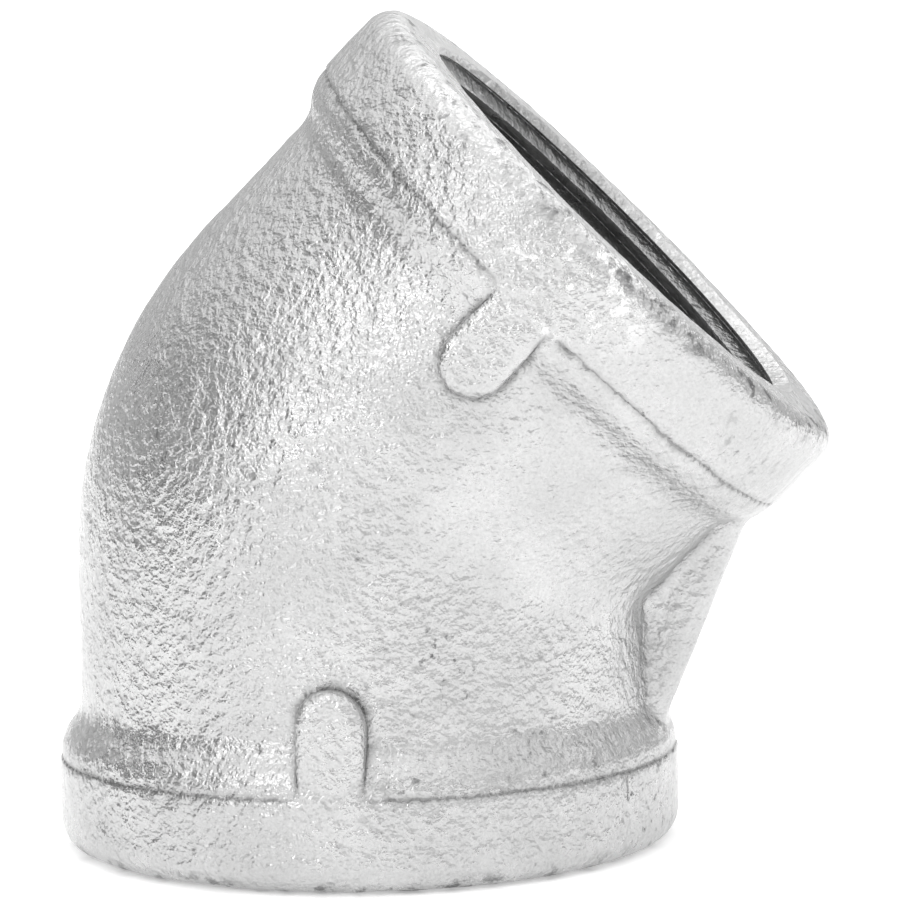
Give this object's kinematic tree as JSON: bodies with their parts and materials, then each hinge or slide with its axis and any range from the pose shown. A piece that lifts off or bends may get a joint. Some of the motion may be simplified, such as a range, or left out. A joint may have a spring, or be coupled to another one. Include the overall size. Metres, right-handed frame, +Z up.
{
  "type": "pipe elbow",
  "caption": "Forty-five degree pipe elbow in galvanised malleable iron, with banded ends, side tabs, a web inside the bend and female taper pipe threads",
  "frame": {"origin": "centre of the lower port's end face", "axes": "the lower port's axis is Z, the passage runs up along +Z and bends 45 degrees towards +X, and the elbow is narrowest along Y"},
  "size_m": [0.0778, 0.0624, 0.0829],
  "materials": {
    "galvanised_iron": "hot-dip galvanised over a rough casting, with bare oiled threads inside"
  },
  "bodies": {
    "root": {"elbow_casting": "galvanised_iron"}
  },
  "joints": []
}
